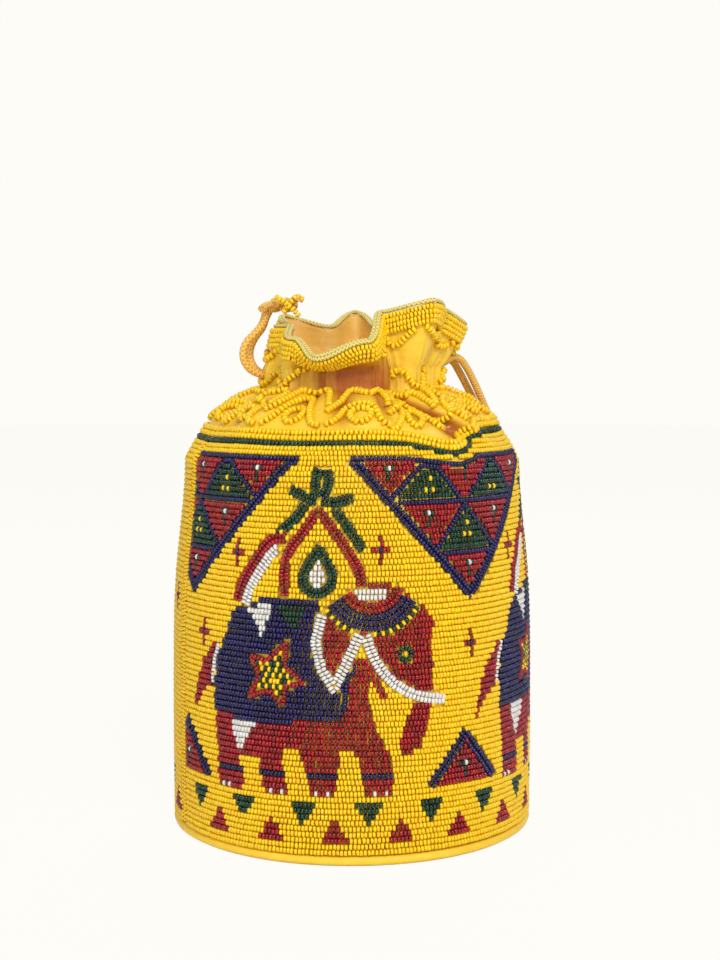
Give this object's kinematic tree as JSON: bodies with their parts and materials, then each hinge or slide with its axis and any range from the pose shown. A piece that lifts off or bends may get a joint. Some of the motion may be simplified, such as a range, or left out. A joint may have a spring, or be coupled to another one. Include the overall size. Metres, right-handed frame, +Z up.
{
  "type": "potli bag",
  "caption": "Round beaded drawstring pouch with a flat base, gathered neck, ruffled collar, satin lining and two knotted drawstrings.",
  "frame": {"origin": "centre of the flat base, on the surface the bag stands on", "axes": "+Z up through the mouth, front of the bag towards -Y, +X to the right seen from the front"},
  "size_m": [0.1518, 0.1518, 0.2199],
  "materials": {
    "yellow_beads": "opaque yellow seed beads on satin",
    "red_beads": "dark red glass seed beads",
    "blue_beads": "indigo glass seed beads",
    "green_beads": "dark green glass seed beads",
    "white_beads": "opaque white seed beads",
    "satin": "yellow satin",
    "lining_satin": "golden satin lining",
    "piping": "pale olive gold satin piping",
    "cord": "braided golden cord",
    "board": "grey board"
  },
  "bodies": {
    "root": {"beaded_bag": "yellow_beads", "lining": "lining_satin", "mouth_binding": "piping", "base_cover": "satin", "base_board": "board", "side_seam": "yellow_beads", "shoulder_line": "green_beads", "border_green": "green_beads", "border_red": "red_beads", "elephant_1_body": "red_beads", "elephant_1_saddle_cloth": "blue_beads", "elephant_1_ear_and_tusk": "white_beads", "elephant_1_headdress": "blue_beads", "elephant_1_drop": "green_beads", "elephant_2_body": "red_beads", "elephant_2_saddle_cloth": "blue_beads", "elephant_2_ear_and_tusk": "white_beads", "elephant_2_headdress": "blue_beads", "elephant_2_drop": "green_beads", "elephant_3_body": "red_beads", "elephant_3_saddle_cloth": "blue_beads", "elephant_3_ear_and_tusk": "white_beads", "elephant_3_headdress": "blue_beads", "elephant_3_drop": "green_beads", "pennant_1_ground": "blue_beads", "pennant_1_red_field": "red_beads", "pyramid_1_red_field": "red_beads", "pyramid_1_chevron": "blue_beads", "pennant_2_ground": "blue_beads", "pennant_2_red_field": "red_beads", "pyramid_2_red_field": "red_beads", "pyramid_2_chevron": "blue_beads", "pennant_3_ground": "blue_beads", "pennant_3_red_field": "red_beads", "pyramid_3_red_field": "red_beads", "pyramid_3_chevron": "blue_beads", "pennant_4_ground": "blue_beads", "pennant_4_red_field": "red_beads", "pyramid_4_red_field": "red_beads", "pyramid_4_chevron": "blue_beads", "drawstring_left_ring": "cord", "drawstring_right_ring": "cord", "drawstring_left_front_strand": "cord", "drawstring_left_back_strand": "cord", "drawstring_right_outer_strand": "cord", "drawstring_right_inner_strand": "cord", "drawstring_left_knot": "cord", "drawstring_right_knot": "cord"}
  },
  "joints": []
}
